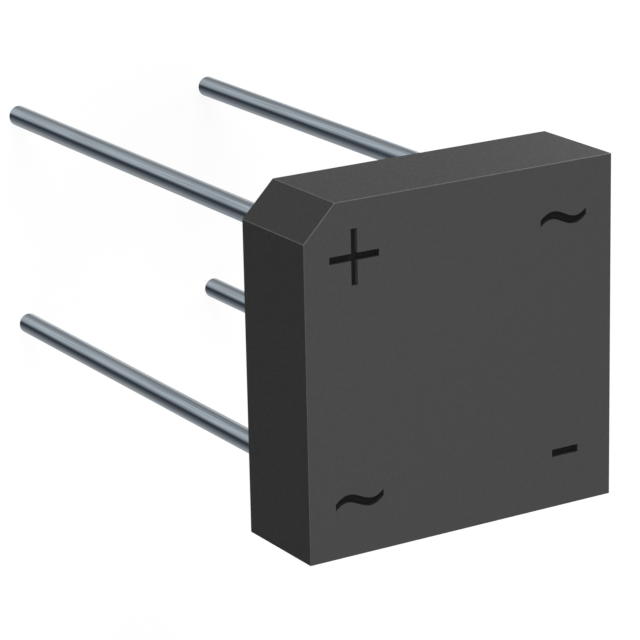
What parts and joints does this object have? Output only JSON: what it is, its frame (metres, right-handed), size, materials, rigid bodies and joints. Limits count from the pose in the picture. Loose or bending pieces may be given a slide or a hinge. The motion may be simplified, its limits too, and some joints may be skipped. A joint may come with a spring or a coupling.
{
  "type": "bridge rectifier",
  "caption": "Square single-phase bridge rectifier: a black moulded cup with sunk polarity marks and a bevelled corner, filled with resin round a diode ring, on long round wire leads.",
  "frame": {"origin": "middle of the seating plane, which is the open rim of the case, on the middle of the lead pattern", "axes": "+Z out of the marked face, with the leads along -Z; +X and +Y along the case's sides, so that the bevelled positive corner is at -X +Y and the negative lead at +X -Y"},
  "size_m": [0.0152, 0.0152, 0.0302],
  "materials": {
    "moulded_case": "fine matt moulding",
    "potting_resin": "cast, satin",
    "tinned_copper": "hot tin dipped",
    "copper_strip": "rolled bare copper",
    "silicon": "lapped and glass passivated",
    "solder": "reflowed, dull"
  },
  "bodies": {
    "root": {"case": "moulded_case", "potting": "potting_resin", "lead_plus": "tinned_copper", "lead_minus": "tinned_copper", "lead_ac_a": "tinned_copper", "lead_ac_b": "tinned_copper", "strip_plus": "copper_strip", "strip_minus": "copper_strip", "strip_ac_a": "copper_strip", "strip_ac_b": "copper_strip", "chip_plus_a": "silicon", "chip_plus_b": "silicon", "chip_minus_a": "silicon", "chip_minus_b": "silicon", "solder_plus_a_lower": "solder", "solder_plus_a_upper": "solder", "solder_plus_b_lower": "solder", "solder_plus_b_upper": "solder", "solder_minus_a_lower": "solder", "solder_minus_a_upper": "solder", "solder_minus_b_lower": "solder", "solder_minus_b_upper": "solder", "solder_lead_plus": "solder", "solder_lead_minus": "solder", "solder_lead_ac_a": "solder", "solder_lead_ac_b": "solder"}
  },
  "joints": []
}
